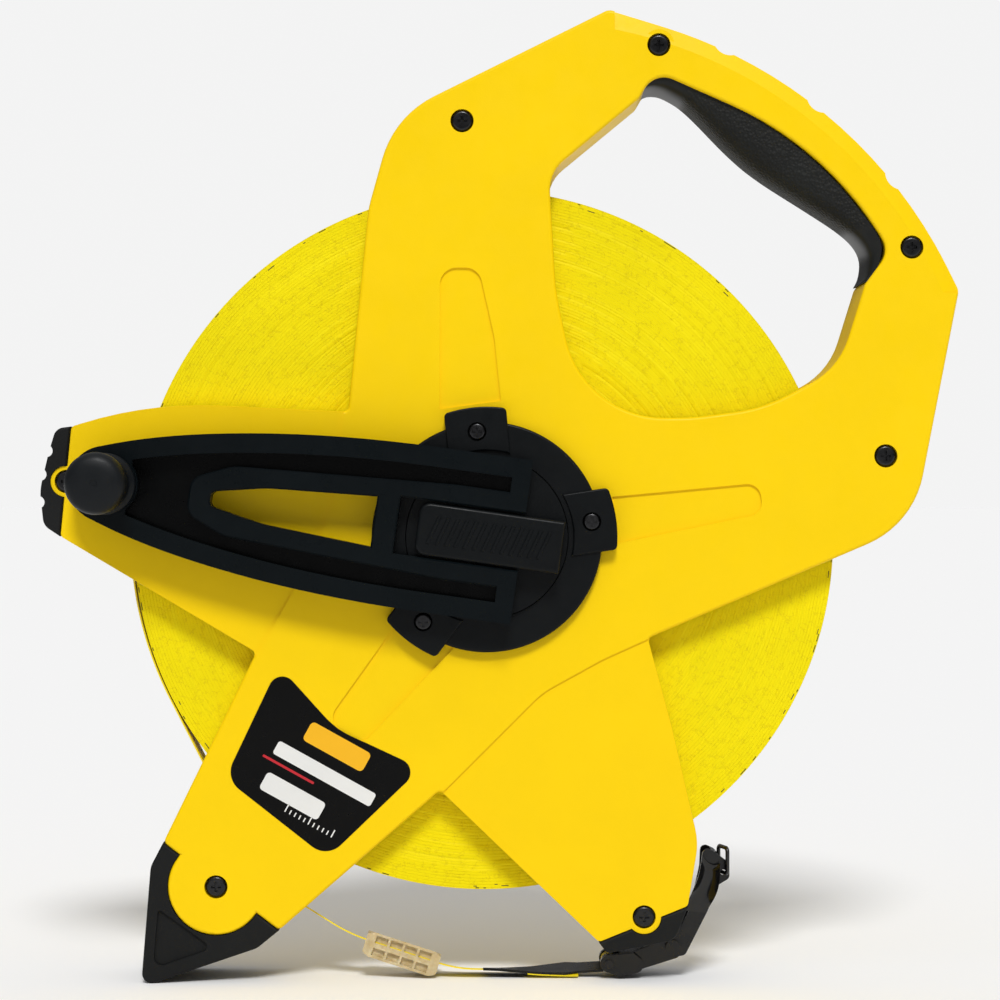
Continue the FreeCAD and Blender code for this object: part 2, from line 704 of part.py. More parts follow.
def make_axle_nut():
    nut = Part.makePolygon([V(*place) for place in hex_points(7.5)])
    solid = Part.Face(nut).extrude(V(0, 3.2, 0))
    solid.translate(V(0, REAR_CUP_FLOOR, 0))
    return solid.cut(rod(0, 0, AXLE_R, 0, 30))


def hex_points(radius):
    places = []
    for corner_index in range(7):
        x, z = polar(radius, 60 * corner_index)
        places.append((x, 0, z))
    return places


# ---------------------------------------------------------------- drum and tape

def make_spool_core():
    rim = tube(0, 0, 51, PACK_INNER_R - 0.1, -6.5, 6.5)
    web = rod(0, 0, 51.5, -6.5, -3.5)
    hub = rod(0, 0, 9, -6.5, DRUM_BACK)
    core = rim.fuse(web).fuse(hub)
    for angle in range(30, 390, 60):
        x, z = polar(31, angle)
        core = core.cut(rod(x, z, 9, -10, 0))
    return core.cut(rod(0, 0, 5.5, -10, 20))


def make_bush():
    return tube(0, 0, AXLE_R + RUN_FIT, 5.5, -6.5, DRUM_BACK)


def make_flange(y0, y1):
    return tube(0, 0, 9.4, 62, y0, y1)


def make_tape_pack():
    return tube(0, 0, PACK_INNER_R, PACK_OUTER_R, -TAPE_WIDTH / 2, TAPE_WIDTH / 2)


def lead_points():
    """Path of the tape from the pack, over the roller, to the strap."""
    start = polar(LEAD_R, LEAD_ANGLE)
    along = polar(1, LEAD_ANGLE + 90)
    out = polar(1, EXIT_SLOPE)
    gap = (TAPE_EXIT[0] - start[0], TAPE_EXIT[1] - start[1])
    cross = along[0] * out[1] - along[1] * out[0]
    reach = (gap[0] * out[1] - gap[1] * out[0]) / cross
    turn_r = ROLLER_R + 0.3 + LEAD_THICK / 2
    bend = (start[0] + along[0] * reach, start[1] + along[1] * reach, turn_r)
    return [start, bend, (*TAPE_EXIT, 60), (*TAPE_LOW, 45), STRAP_START]


def make_tape_lead():
    return band(lead_points(), LEAD_THICK, -TAPE_WIDTH / 2, TAPE_WIDTH / 2)


def make_tape_stop():
    """Ribbed stop moulded on the tape; too thick to enter the leg."""
    length = math.dist(STOP_START, STOP_END)
    slope = math.degrees(math.atan2(STOP_END[1] - STOP_START[1], STOP_END[0] - STOP_START[0]))
    half = STOP_WIDTH / 2
    ends = [(-2, 3.4, 1), (0.5, STOP_HALF_HEIGHT, 1), (length - 0.5, STOP_HALF_HEIGHT, 1),
            (length + 2, 3.4, 1), (length + 2, -3.4, 1), (length - 0.5, -STOP_HALF_HEIGHT, 1),
            (0.5, -STOP_HALF_HEIGHT, 1), (-2, -3.4, 1)]
    block = plate(ends, -half, half)
    above = Part.makeBox(60, 30, 10, V(-20, -half, STOP_HALF_HEIGHT))
    above.rotate(V(0, -half, STOP_HALF_HEIGHT), V(1, 0, 0), -STOP_DRAFT)
    block = block.cut(above)
    cell = (length - 2) / 4
    for column in range(4):
        left = 1.5 + column * cell
        upper = Part.makeBox(cell - 1, CELL_DEPTH, 2.8, V(left, -half - 0.1, 0.9))
        lower = Part.makeBox(cell - 1, CELL_DEPTH, 2.8, V(left, -half - 0.1, -3.7))
        block = block.cut([upper, lower, mirrored(lower)])
    block = block.cut(Part.makeBox(60, TAPE_WIDTH + 0.2, LEAD_THICK + 0.1,
                                   V(-20, -TAPE_WIDTH / 2 - 0.1, -LEAD_THICK / 2 - 0.05)))
    block.rotate(V(0, 0, 0), V(0, -1, 0), slope)
    block.translate(V(STOP_START[0], 0, STOP_START[1]))
    return block


def make_strap():
    """Reinforcement at the end of the tape, looped round the pin of the hook."""
    path = [(STRAP_START[0] + 0.1, STRAP_START[1]), (17, -158.6, 60), (PIN[0] + 0.3, PIN[1] - 2.05)]
    strap = band(path, 1.2, -TAPE_WIDTH / 2, TAPE_WIDTH / 2)
    strap = strap.cut(rod(PIN[0], PIN[1], 8.4, -9, -4.6)).cut(rod(PIN[0], PIN[1], 8.4, 4.6, 9))
    loop = rod(PIN[0], PIN[1], 2.8, -4.5, 4.5)
    return strap.fuse(loop).cut(rod(PIN[0], PIN[1], PIN_R + RUN_FIT, -9, 9))


def make_guide_roller():
    x, z = guide_centre()
    roller = rod(x, z, ROLLER_R, -6.9, 6.9)
    return roller.cut(rod(x, z, PIN_R + RUN_FIT, -9, 9))


def make_guide_pin():
    return rod(*guide_centre(), PIN_R, -13, 13)


# ---------------------------------------------------------------- end hook

def make_hook_body():
    """Bar from the barrel at the tape to the rivet of the grab arm."""
    bar = plate([(PIN[0] + 3.6, PIN[1] + 1.2), (PIN[0] + 9, PIN[1] + 3.8, 8), (RIVET[0], RIVET[1] + 3.2, 3),
                 (RIVET[0] + 4.2, RIVET[1], 2), (RIVET[0] + 2, RIVET[1] - 4.2, 2),
                 (PIN[0] + 5, PIN[1] - 4.6, 2), (PIN[0] + 3.6, PIN[1] - 2.5)], -HOOK_BAR_Y, HOOK_BAR_Y)
    wing = plate([(PIN[0], PIN[1] + 3), (PIN[0] + 9, PIN[1] + 3.8), (PIN[0] + 16, PIN[1] - 2, 3),
                  (PIN[0] + 4, PIN[1] - 4.8, 2), (PIN[0] - 0.5, PIN[1] - 3)], -7.8, 7.8)
    body = bar.fuse(wing)
    body = body.fuse(rod(PIN[0], PIN[1], 3.2, -7.8, 7.8))
    body = body.cut(rod(PIN[0], PIN[1], 3.4, -4.8, 4.8))
    strap_room = Part.makeBox(13, 9.6, 12, V(PIN[0] - 9, -4.8, PIN[1] - 6))
    body = body.cut(strap_room)
    return body.cut(rod(PIN[0], PIN[1], PIN_R, -9, 9)).cut(rod(RIVET[0], RIVET[1], RIVET_R, -9, 9))


def make_hook_pin():
    return rod(PIN[0], PIN[1], PIN_R, -8.6, 8.6)


def make_rivet():
    rivet = rod(RIVET[0], RIVET[1], RIVET_R, -7.4, 7.4)
    for y in (-7.8, 6.9):
        rivet = rivet.fuse(rod(RIVET[0], RIVET[1], 2.6, y, y + 0.9))
    return rivet


def make_grab_arm():
    """Channel-shaped arm that wraps the corner of the foot."""
    left = [(65.5, -147.3, 2), (70.7, -141.7, 4), (73, -137, 6), (75.8, -131, 8), (78, -121, 10),
            (78.4, -112.6, 2)]
    right = [(84.6, -115.5, 3), (84.8, -121, 5), (83.2, -129, 12), (80, -136.5, 12),
             (RIVET[0] + 4.4, RIVET[1] - 3, 2), (RIVET[0] - 1.5, RIVET[1] - 4, 2)]
    band_outline = left + right
    solid = plate(band_outline, -CHEEK_Y[1], CHEEK_Y[1])
    hollow = plate([(60, -160), (60, -100), (79.4, -100), (82.2, -118, 4), (80.6, -128, 10),
                    (77.4, -136.5, 10), (RIVET[0] + 9, RIVET[1] + 2, 2), (RIVET[0] + 9, -160)],
                   -CHEEK_Y[0], CHEEK_Y[0])
    solid = solid.cut(hollow)
    solid = solid.cut(rod(RIVET[0], RIVET[1], 6.6, -CHEEK_Y[0], CHEEK_Y[0]))
    tip = plate([(83.6, -128, 1), (81.5, -119), (84, -116, 1), (88.6, -119.5, 2), (88.6, -125, 2)], -1, 1)
    solid = solid.fuse(tip.cut(rod(RING_CENTRE[0], RING_CENTRE[1] - RING_R, RING_WIRE_R + 0.25, -3, 3)))
    return solid.cut(rod(RIVET[0], RIVET[1], RIVET_R + RUN_FIT, -9, 9))


def make_hook_ring():
    centre = V(RING_CENTRE[0], 0, RING_CENTRE[1])
    return Part.makeTorus(RING_R, RING_WIRE_R, centre, V(1, 0, 0))


# ---------------------------------------------------------------- writing out

def save(name, shapes):
    """Write one node, moved from the hub axis to the origin of the part."""
    if not isinstance(shapes, list):
        shapes = [shapes]
    solids = []
    for shape in shapes:
        solids.extend(shape.Solids)
    joined = solids[0] if len(solids) == 1 else Part.makeCompound(solids)
    moved = joined.copy()
    moved.translate(V(HUB_X, HUB_Y, HUB_Z))
    moved.exportStep("parts/" + name + ".step")
    print(name, len(solids), round(moved.Volume), moved.isValid())


def main():
    os.makedirs("parts", exist_ok=True)
    save("front_shell", make_shell(True))
    save("rear_shell", make_shell(False))
    save("left_foot_cap", make_left_cap())
    save("lower_left_foot_cap", make_lower_left_cap())
    save("lower_right_foot_cap", make_lower_right_cap())
    save("handle_grip", make_grip())
    save("label", make_label())
    save("shell_screws", make_shell_screws())
    save("hub_retainer_ring", make_retainer())
    save("ring_screws", make_ring_screws())
    save("ring_gear", make_ring_gear())
    save("axle", make_axle())
    save("axle_nut", make_axle_nut())
    save("guide_pin", make_guide_pin())
    save("guide_roller", make_guide_roller())
    save("tape_lead", make_tape_lead())
    save("tape_stop", make_tape_stop())
    save("tape_end_strap", make_strap())
    save("spool_core", make_spool_core())
    save("axle_bush", make_bush())
    save("spool_flange_front", make_flange(-7.5, -6.5))
    save("spool_flange_rear", make_flange(6.5, 7.5))
    save("tape_pack", make_tape_pack())
    save("sun_gear", make_sun())
    save("crank_disc", make_crank_disc())
    save("planet_pins", make_planet_pins())
    save("planet_clips", make_planet_clips())
    for number, angle in enumerate((0, 120, 240), 1):
        save("planet_gear_%d" % number, make_planet(angle))
    save("crank_arm", make_crank_arm())
    save("crank_block", make_crank_block())
    save("crank_screws", make_crank_screws())
    save("knob_stud", make_knob_stud())
    save("crank_knob", make_knob())
    save("hook_body", make_hook_body())
    save("hook_pin", make_hook_pin())
    save("hook_rivet", make_rivet())
    save("grab_arm", make_grab_arm())
    save("hook_ring", make_hook_ring())


main()
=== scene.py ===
"""Looks of the surveyor tape reel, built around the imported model.

Places on the reel are given in millimetres from the hub axis, X to the right and
Z up seen from the front, and turned into metres in the frame by spot().
"""

import json
import math
import random

import bpy
from mathutils import Matrix, Vector


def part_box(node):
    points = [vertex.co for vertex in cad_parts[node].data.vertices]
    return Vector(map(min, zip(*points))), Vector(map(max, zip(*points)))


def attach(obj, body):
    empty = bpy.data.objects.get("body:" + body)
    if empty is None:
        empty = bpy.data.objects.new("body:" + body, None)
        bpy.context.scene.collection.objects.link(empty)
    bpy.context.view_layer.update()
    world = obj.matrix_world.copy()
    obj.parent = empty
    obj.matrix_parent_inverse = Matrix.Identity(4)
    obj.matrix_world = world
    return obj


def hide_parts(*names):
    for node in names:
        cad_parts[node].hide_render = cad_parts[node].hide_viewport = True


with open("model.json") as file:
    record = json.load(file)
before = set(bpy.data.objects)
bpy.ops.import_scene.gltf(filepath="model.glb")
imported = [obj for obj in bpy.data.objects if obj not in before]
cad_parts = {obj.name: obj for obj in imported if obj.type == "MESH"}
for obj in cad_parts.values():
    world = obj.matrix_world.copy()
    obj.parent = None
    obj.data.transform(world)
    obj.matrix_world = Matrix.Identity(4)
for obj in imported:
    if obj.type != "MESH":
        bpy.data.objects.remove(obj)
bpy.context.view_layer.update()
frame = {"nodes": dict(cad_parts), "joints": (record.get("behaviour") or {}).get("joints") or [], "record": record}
JOINTS = {joint["name"]: joint for joint in frame["joints"]}
HUB = Vector(JOINTS["drum_spin"]["pos_m"])
FACE = (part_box("front_shell")[0].y - HUB.y) * 1000
random.seed(7)

# Camera: 100 mm lens on a 36 mm sensor, one metre in front of the face of the frame
VIEW_CENTRE = (4.68, 13.32)
VIEW_DISTANCE = 1000.0
LENS = 100.0

# Wound tape
PACK_INNER = 54.0
PACK_OUTER = 127.2           # the pack sits a little loose, low on its core
PACK_SHIFT = (-1.3, -1.1)
TAPE_HALF = (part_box("tape_pack")[1].y - HUB.y) * 1000
LAYER = 1.1                 # two wraps and the gap between them, drawn as one ridge
ROUND = 240

# Tape run, as corners (x, z, radius)
LEAD_R = 129.5
LEAD_ANGLE = 207.3
LAST_WRAP = 26              # degrees of the last wrap, back to inside the left leg
TURN_R = 5.6                # over the guide roller
EXIT_SLOPE = -31.8
TAPE_EXIT = (-50.1, -145.6, 60.0)
TAPE_LOW = (-11.1, -158.3, 45.0)
STRAP_START = (-1.5, -158.4)
PIN = Vector(JOINTS["hook_swing"]["pos_m"]) - HUB
WING_R = 8.6                # the hook sweeps this far about its pin
CRANK_ANGLE = math.radians(172.0)

# Light
KEY_FROM = (0.05, -0.70, 0.72)
KEY_STRENGTH = 2.15
KEY_SPREAD = 16.0
HORIZON_GLOW = 0.03
OVERHEAD_GLOW = 0.65
BACKDROP = 0.9
FLOOR_HALF = 60.0           # half the side of the floor, in metres


def spot(x, y, z):
    """A place in millimetres from the hub, in metres in the frame."""
    return HUB + Vector((x, y, z)) / 1000


def polar(radius, degrees):
    """Point at a radius and an angle from +X."""
    turn = math.radians(degrees)
    return Vector((radius * math.cos(turn), radius * math.sin(turn)))


# ---------------------------------------------------------------- materials

def new_material(name, colour, roughness, metallic=0.0, coat=0.0, specular=0.5):
    """Principled material; the plain values sit on the shader's own sockets."""
    material = bpy.data.materials.new(name)
    material.use_nodes = True
    shader = material.node_tree.nodes["Principled BSDF"]
    shader.inputs["Base Color"].default_value = (*colour, 1)
    shader.inputs["Roughness"].default_value = roughness
    shader.inputs["Metallic"].default_value = metallic
    shader.inputs["Coat Weight"].default_value = coat
    shader.inputs["Specular IOR Level"].default_value = specular
    return material


def add(material, kind, **values):
    """Add a node; names that start with in_ set its sockets, and the rest its settings."""
    node = material.node_tree.nodes.new(kind)
    for key, value in values.items():
        if key.startswith("in_"):
            node.inputs[key[3:].replace("_", " ")].default_value = value
        else:
            setattr(node, key, value)
    return node


def link(material, out_node, out_name, in_node, in_name):
    material.node_tree.links.new(out_node.outputs[out_name], in_node.inputs[in_name])


def shader_of(material):
    return material.node_tree.nodes["Principled BSDF"]


def noise(material, scale, detail=4.0, rough=0.6):
    """Noise in object space, so that it stays on a piece that moves."""
    coords = add(material, "ShaderNodeTexCoord")
    node = add(material, "ShaderNodeTexNoise", in_Scale=scale, in_Detail=detail, in_Roughness=rough)
    link(material, coords, "Object", node, "Vector")
    return node


def ramp(material, source, stops, output="Fac"):
    node = add(material, "ShaderNodeValToRGB")
    elements = node.color_ramp.elements
    while len(elements) < len(stops):
        elements.new(0.5)
    for element, (place, colour) in zip(elements, stops):
        element.position = place
        element.color = (*colour, 1)
    link(material, source, output, node, "Fac")
    return node


def grey(value):
    return (value, value, value)


def add_bump(material, height_node, height_name, strength, distance, below=None):
    """Bump on the shader's normal; below is a bump that it builds on."""
    node = add(material, "ShaderNodeBump", in_Strength=strength, in_Distance=distance)
    link(material, height_node, height_name, node, "Height")
    if below:
        link(material, below, "Normal", node, "Normal")
    link(material, node, "Normal", shader_of(material), "Normal")
    return node


def moulded(name, colour, roughness, grain=2200.0, strength=0.12, spread=0.06, coat=0.0, specular=0.3):
    """Moulded plastic: soft mottling in colour and gloss, and a fine spark-eroded grain."""
    material = new_material(name, colour, roughness, coat=coat, specular=specular)
    cloud = noise(material, 28.0, 5.0)
    darker = tuple(channel * (1 - spread * 2) for channel in colour)
    lighter = tuple(min(1.0, channel * (1 + spread)) for channel in colour)
    tint = ramp(material, cloud, [(0.3, darker), (0.75, lighter)])
    link(material, tint, "Color", shader_of(material), "Base Color")
    patch = noise(material, 160.0, 3.0)
    gloss = ramp(material, patch, [(0.3, grey(roughness - 0.06)), (0.7, grey(roughness + 0.08))])
    link(material, gloss, "Color", shader_of(material), "Roughness")
    fine = noise(material, grain, 2.0, 0.5)
    add_bump(material, fine, "Fac", strength, 0.0002)
    return material


def metal(name, colour, roughness, coat=0.0):
    """Metal with a drawn, slightly uneven surface."""
    material = new_material(name, colour, roughness, metallic=1.0, coat=coat)
    cloud = noise(material, 220.0, 6.0)
    tint = ramp(material, cloud, [(0.3, tuple(c * 0.7 for c in colour)), (0.7, colour)])
    link(material, tint, "Color", shader_of(material), "Base Color")
    gloss = ramp(material, cloud, [(0.3, grey(roughness * 0.7)), (0.7, grey(roughness * 1.4))])
    link(material, gloss, "Color", shader_of(material), "Roughness")
    scratch = noise(material, 900.0, 2.0)
    add_bump(material, scratch, "Fac", 0.15, 0.0002)
    return material


def wound_tape_material():
    """Edges of the wound tape: a fine broken crackle where the wraps meet unevenly, as a bump and as painted
    shade, a darker yellow in its lines.
    """
    material = new_material("wound_tape_mat", (0.88, 0.74, 0.002), 0.55, specular=0.10)
    coords = add(material, "ShaderNodeTexCoord")
    warp = noise(material, 420.0, 3.0)
    shift = add(material, "ShaderNodeVectorMath", operation="SCALE", in_Scale=0.0045)
    link(material, warp, "Color", shift, 0)
    bent = add(material, "ShaderNodeVectorMath", operation="ADD")
    link(material, coords, "Object", bent, 0)
    link(material, shift, 0, bent, 1)
    cells = add(material, "ShaderNodeTexVoronoi", feature="DISTANCE_TO_EDGE", in_Scale=430.0)
    link(material, bent, 0, cells, "Vector")
    crack = ramp(material, cells, [(0.0, grey(0.0)), (0.09, grey(1.0))], "Distance")
    patches = noise(material, 330.0, 3.0, 0.6)
    mask = ramp(material, patches, [(0.40, grey(0.0)), (0.52, grey(1.0))])
    whole = add(material, "ShaderNodeMath", operation="MAXIMUM")
    link(material, crack, "Color", whole, 0)
    link(material, mask, "Color", whole, 1)
    # painted shade: the crack lines take a darker yellow, standing in for the shade in the crackle
    paint = add(material, "ShaderNodeMix", data_type="RGBA")
    paint.inputs[6].default_value = (0.76, 0.61, 0.003, 1)
    paint.inputs[7].default_value = (0.88, 0.74, 0.002, 1)
    link(material, whole, 0, paint, 0)
    cloud = noise(material, 35.0, 4.0)
    tone = ramp(material, cloud, [(0.3, (0.94, 0.94, 0.9)), (0.7, (1.0, 1.0, 1.0))])
    tinted = add(material, "ShaderNodeMix", data_type="RGBA", blend_type="MULTIPLY")
    tinted.inputs[0].default_value = 1.0
    link(material, paint, 2, tinted, 6)
    link(material, tone, "Color", tinted, 7)
    link(material, tinted, 2, shader_of(material), "Base Color")
    add_bump(material, whole, 0, 0.3, 0.0002)
    return material


def printed_tape_material():
    """Face of the tape: yellow with black graduations, along the tape in millimetres."""
    material = new_material("printed_tape_mat", (0.87, 0.69, 0.006), 0.38)
    uv = add(material, "ShaderNodeUVMap", uv_map="along")
    parts = add(material, "ShaderNodeSeparateXYZ")
    link(material, uv, "UV", parts, 0)
    marks = []
    for pitch, width, reach in ((2.0, 0.3, 0.22), (10.0, 0.5, 0.5)):
        node = add(material, "ShaderNodeMath", operation="MODULO")
        node.inputs[1].default_value = pitch
        link(material, parts, "X", node, 0)
        thin = add(material, "ShaderNodeMath", operation="LESS_THAN")
        thin.inputs[1].default_value = width
        link(material, node, 0, thin, 0)
        side = add(material, "ShaderNodeMath", operation="GREATER_THAN")
        side.inputs[1].default_value = 1 - reach
        link(material, parts, "Y", side, 0)
        both = add(material, "ShaderNodeMath", operation="MULTIPLY")
        link(material, thin, 0, both, 0)
        link(material, side, 0, both, 1)
        marks.append(both)
    either = add(material, "ShaderNodeMath", operation="MAXIMUM")
    link(material, marks[0], 0, either, 0)
    link(material, marks[1], 0, either, 1)
    ink = add(material, "ShaderNodeMix", data_type="RGBA")
    ink.inputs[6].default_value = (0.87, 0.69, 0.006, 1)
    ink.inputs[7].default_value = (0.03, 0.025, 0.01, 1)
    link(material, either, 0, ink, 0)
    link(material, ink, 2, shader_of(material), "Base Color")
    weave = noise(material, 1500.0, 3.0)
    add_bump(material, weave, "Fac", 0.2, 0.0002)
    return material


def stop_material():
    """Cloudy, slightly see-through moulding of the tape stop."""
    material = new_material("tape_stop_mat", (0.67, 0.51, 0.24), 0.36)
    cloud = noise(material, 260.0, 4.0)
    tint = ramp(material, cloud, [(0.3, (0.62, 0.47, 0.22)), (0.7, (0.86, 0.74, 0.48))])
    link(material, tint, "Color", shader_of(material), "Base Color")
    shader_of(material).inputs["Transmission Weight"].default_value = 0.25
    shader_of(material).inputs["Subsurface Weight"].default_value = 0.8
    shader_of(material).inputs["Subsurface Radius"].default_value = (0.007, 0.006, 0.004)
    add_bump(material, cloud, "Fac", 0.1, 0.0003)
    return material


def grip_material():
    """Rubber: fine pebble in the middle of the palm, smooth towards the ends."""
    material = new_material("grip_mat", (0.008, 0.009, 0.009), 0.55, specular=0.25)
    cloud = noise(material, 60.0, 4.0)
    tint = ramp(material, cloud, [(0.3, (0.0045, 0.005, 0.0045)), (0.7, (0.009, 0.010, 0.009))])
    link(material, tint, "Color", shader_of(material), "Base Color")
    coords = add(material, "ShaderNodeTexCoord")
    pebble = add(material, "ShaderNodeTexVoronoi", in_Scale=900.0)
    link(material, coords, "Object", pebble, "Vector")
    uv = add(material, "ShaderNodeUVMap", uv_map="along")
    parts = add(material, "ShaderNodeSeparateXYZ")
    link(material, uv, "UV", parts, 0)
    ends = [(0.16, grey(0.0)), (0.19, grey(1.0)), (0.81, grey(1.0)), (0.84, grey(0.0))]
    zone = ramp(material, parts, ends, "X")
    height = add(material, "ShaderNodeMath", operation="MULTIPLY")
    link(material, pebble, "Distance", height, 0)
    link(material, zone, "Color", height, 1)
    add_bump(material, height, 0, 0.7, 0.0006)
    gloss = ramp(material, zone, [(0.0, grey(0.42)), (1.0, grey(0.62))], "Color")
    link(material, gloss, "Color", shader_of(material), "Roughness")
    return material


def arm_material():
    """Hub plastic of the crank arm, with painted shade: its colour darkens with depth, so the deep channels are
    painted darker than its ribs.
    """
    material = moulded("arm_mat", (0.0026, 0.0046, 0.0058), 0.30, 2400.0, 0.10, 0.12, specular=0.10)
    low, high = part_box("crank_arm")
    to_piece = frame["nodes"]["crank_arm"].matrix_world.inverted()
    coords = add(material, "ShaderNodeTexCoord")
    parts = add(material, "ShaderNodeSeparateXYZ")
    link(material, coords, "Object", parts, 0)
    # painted shade: the colour is multiplied down towards the back of the arm, darkening the recessed channels
    depth = add(material, "ShaderNodeMapRange")
    depth.inputs["From Min"].default_value = (to_piece @ low).y + 0.001
    depth.inputs["From Max"].default_value = (to_piece @ high).y - 0.003
    depth.inputs["To Min"].default_value = 1.0
    depth.inputs["To Max"].default_value = 0.08
    link(material, parts, "Y", depth, "Value")
    shade = add(material, "ShaderNodeMix", data_type="RGBA", blend_type="MULTIPLY")
    shade.inputs[0].default_value = 1.0
    tint = shader_of(material).inputs["Base Color"].links[0].from_node
    link(material, tint, "Color", shade, 6)
    link(material, depth, "Result", shade, 7)
    link(material, shade, 2, shader_of(material), "Base Color")
    return material


def make_materials():
    """One material for each slot of the record, and a few for added pieces."""
    return {
        "shell_yellow": moulded("shell_mat", (0.94, 0.63, 0.001), 0.40, 2600.0, 0.10, 0.015, specular=0.14),
        "foot_rubber": moulded("foot_mat", (0.006, 0.0065, 0.0065), 0.58, 1500.0, 0.3, 0.15, specular=0.2),
        "grip_rubber": grip_material(),
        "hub_black": moulded("hub_mat", (0.0035, 0.0045, 0.0052), 0.36, 2400.0, 0.14, 0.12, specular=0.14),
        "knob_black": moulded("knob_mat", (0.0045, 0.006, 0.0075), 0.42, 2600.0, 0.2, 0.12, specular=0.2),
        "black_steel": metal("screw_mat", (0.035, 0.035, 0.037), 0.32, 0.2),
        "label_film": moulded("label_mat", (0.002, 0.002, 0.002), 0.3, 3000.0, 0.04, 0.1, 0.0, 0.12),
        "gear_nylon": moulded("gear_mat", (0.75, 0.72, 0.62), 0.45, 1800.0, 0.1, 0.05),
        "bright_steel": metal("steel_mat", (0.55, 0.55, 0.56), 0.3),
        "bush_bronze": metal("bronze_mat", (0.45, 0.28, 0.12), 0.45),
        "spool_abs": moulded("spool_mat", (0.03, 0.03, 0.03), 0.5, 1800.0, 0.15, 0.1),
        "tape_yellow": wound_tape_material(),
        "stop_translucent": stop_material(),
        "strap_black": moulded("strap_mat", (0.006, 0.006, 0.006), 0.3, 1400.0, 0.25, 0.15, specular=0.3),
        "hook_steel": moulded("hook_mat", (0.004, 0.004, 0.0045), 0.22, 1200.0, 0.12, 0.2, 0.15),
        "polished": moulded("polished_mat", (0.004, 0.004, 0.0045), 0.16, 1200.0, 0.03, 0.1, 0.3, 0.3),
        "ring_steel": metal("wire_mat", (0.05, 0.05, 0.05), 0.3, 0.3),
        "printed": printed_tape_material(),
        "ink": moulded("ink_mat", (0.05, 0.04, 0.01), 0.5, 3000.0, 0.05, 0.1),
        "arm": arm_material(),
        "label_yellow": moulded("label_yellow_mat", (0.9, 0.47, 0.01), 0.35, 3000.0, 0.03, 0.03),
        "label_white": moulded("label_white_mat", (0.78, 0.78, 0.76), 0.35, 3000.0, 0.03, 0.03),
        "label_red": moulded("label_red_mat", (0.55, 0.02, 0.03), 0.35, 3000.0, 0.03, 0.05),
    }


def paint_frame(materials):
    """Give every CAD node the material of its slot."""
    for entry in frame["record"]["subparts"]:
        node = frame["nodes"][entry["node"]]
        node.data.materials.clear()
        node.data.materials.append(materials[entry["material_slot"]])
    for node, paint in (("crank_arm", "arm"), ("hook_pin", "black_steel")):
        frame["nodes"][node].data.materials.clear()
        frame["nodes"][node].data.materials.append(materials[paint])


# ---------------------------------------------------------------- mesh helpers

def mesh_object(name, points, faces, material, smooth=True):
    mesh = bpy.data.meshes.new(name)
    mesh.from_pydata([tuple(point) for point in points], [], faces)
    mesh.validate()
    mesh.materials.append(material)
    for polygon in mesh.polygons:
        polygon.use_smooth = smooth
    piece = bpy.data.objects.new(name, mesh)
    bpy.context.scene.collection.objects.link(piece)
    return piece


def place(piece, body, slot, *replaced):
    """Put a piece on its body, in the stead of CAD nodes; slot is not used."""
    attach(piece, body)
    if replaced:
        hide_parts(*replaced)
    return piece


def grid_faces(rows, columns, close_rows=False, close_columns=False):
    """Quads between rows of points; closed ways wrap round."""
    faces = []
    for row in range(rows if close_rows else rows - 1):
        for column in range(columns if close_columns else columns - 1):
            a = row * columns + column
            b = row * columns + (column + 1) % columns
            c = ((row + 1) % rows) * columns + (column + 1) % columns
            d = ((row + 1) % rows) * columns + column
            faces.append((a, b, c, d))
    return faces


def ring_sweep(name, sections, material, smooth=True, capped=True):
    """Skin closed sections, given as lists of points with the same count."""
    count = len(sections[0])
    points = [point for section in sections for point in section]
    faces = grid_faces(len(sections), count, close_columns=True)
    if capped:
        faces.append(tuple(range(count))[::-1])
        faces.append(tuple(range(len(points) - count, len(points))))
    return mesh_object(name, points, faces, material, smooth)


def auto_smooth(piece, angle=35.0):
    """Smooth shading with crisp edges kept above an angle."""
    for polygon in piece.data.polygons:
        polygon.use_smooth = True
    piece.data.set_sharp_from_angle(angle=math.radians(angle))


# ---------------------------------------------------------------- wound tape

def ridge_profile():
    """Radius and depth of the points across one side of the pack, wrap by wrap."""
    profile = []
    radius = PACK_INNER
    while radius < PACK_OUTER - LAYER:
        proud = random.uniform(0.03, 0.12)
        profile.append((radius + 0.06, proud))
        profile.append((radius + LAYER - 0.06, proud + random.uniform(-0.02, 0.02)))
        profile.append((radius + LAYER, 0.16))
        radius += LAYER
    profile.append((PACK_OUTER - 0.1, 0.05))
    return profile


def make_wound_tape(materials):
    """Pack of tape with uneven wraps on both sides and the last wrap outside."""
    front = ridge_profile()
    back = ridge_profile()
    across = [(radius, -TAPE_HALF + deep) for radius, deep in front]
    across += [(PACK_OUTER, -TAPE_HALF + 0.25), (PACK_OUTER, TAPE_HALF - 0.25)]
    across += [(radius, TAPE_HALF - deep) for radius, deep in reversed(back)]
    wander = [(random.uniform(0, 6.28), random.randint(2, 5)) for _ in across]
    points = []
    for step in range(ROUND):
        angle = 2 * math.pi * step / ROUND
        for (radius, y), (phase, waves) in zip(across, wander):
            shift = 0.03 * math.sin(waves * angle + phase)
            depth = max(-TAPE_HALF, min(TAPE_HALF, y - abs(shift) * (1 if y > 0 else -1)))
            rise = (radius - PACK_INNER) / (PACK_OUTER - PACK_INNER)
            points.append(spot(radius * math.cos(angle) + PACK_SHIFT[0] * rise, depth,
                               radius * math.sin(angle) + PACK_SHIFT[1] * rise))
    faces = grid_faces(ROUND, len(across), close_rows=True, close_columns=True)
    pack = mesh_object("wound_tape", points, faces, materials["tape_yellow"])
    auto_smooth(pack, 50)
    return place(pack, "drum", "tape_yellow", "tape_pack")


EDGE_MARKS = 80


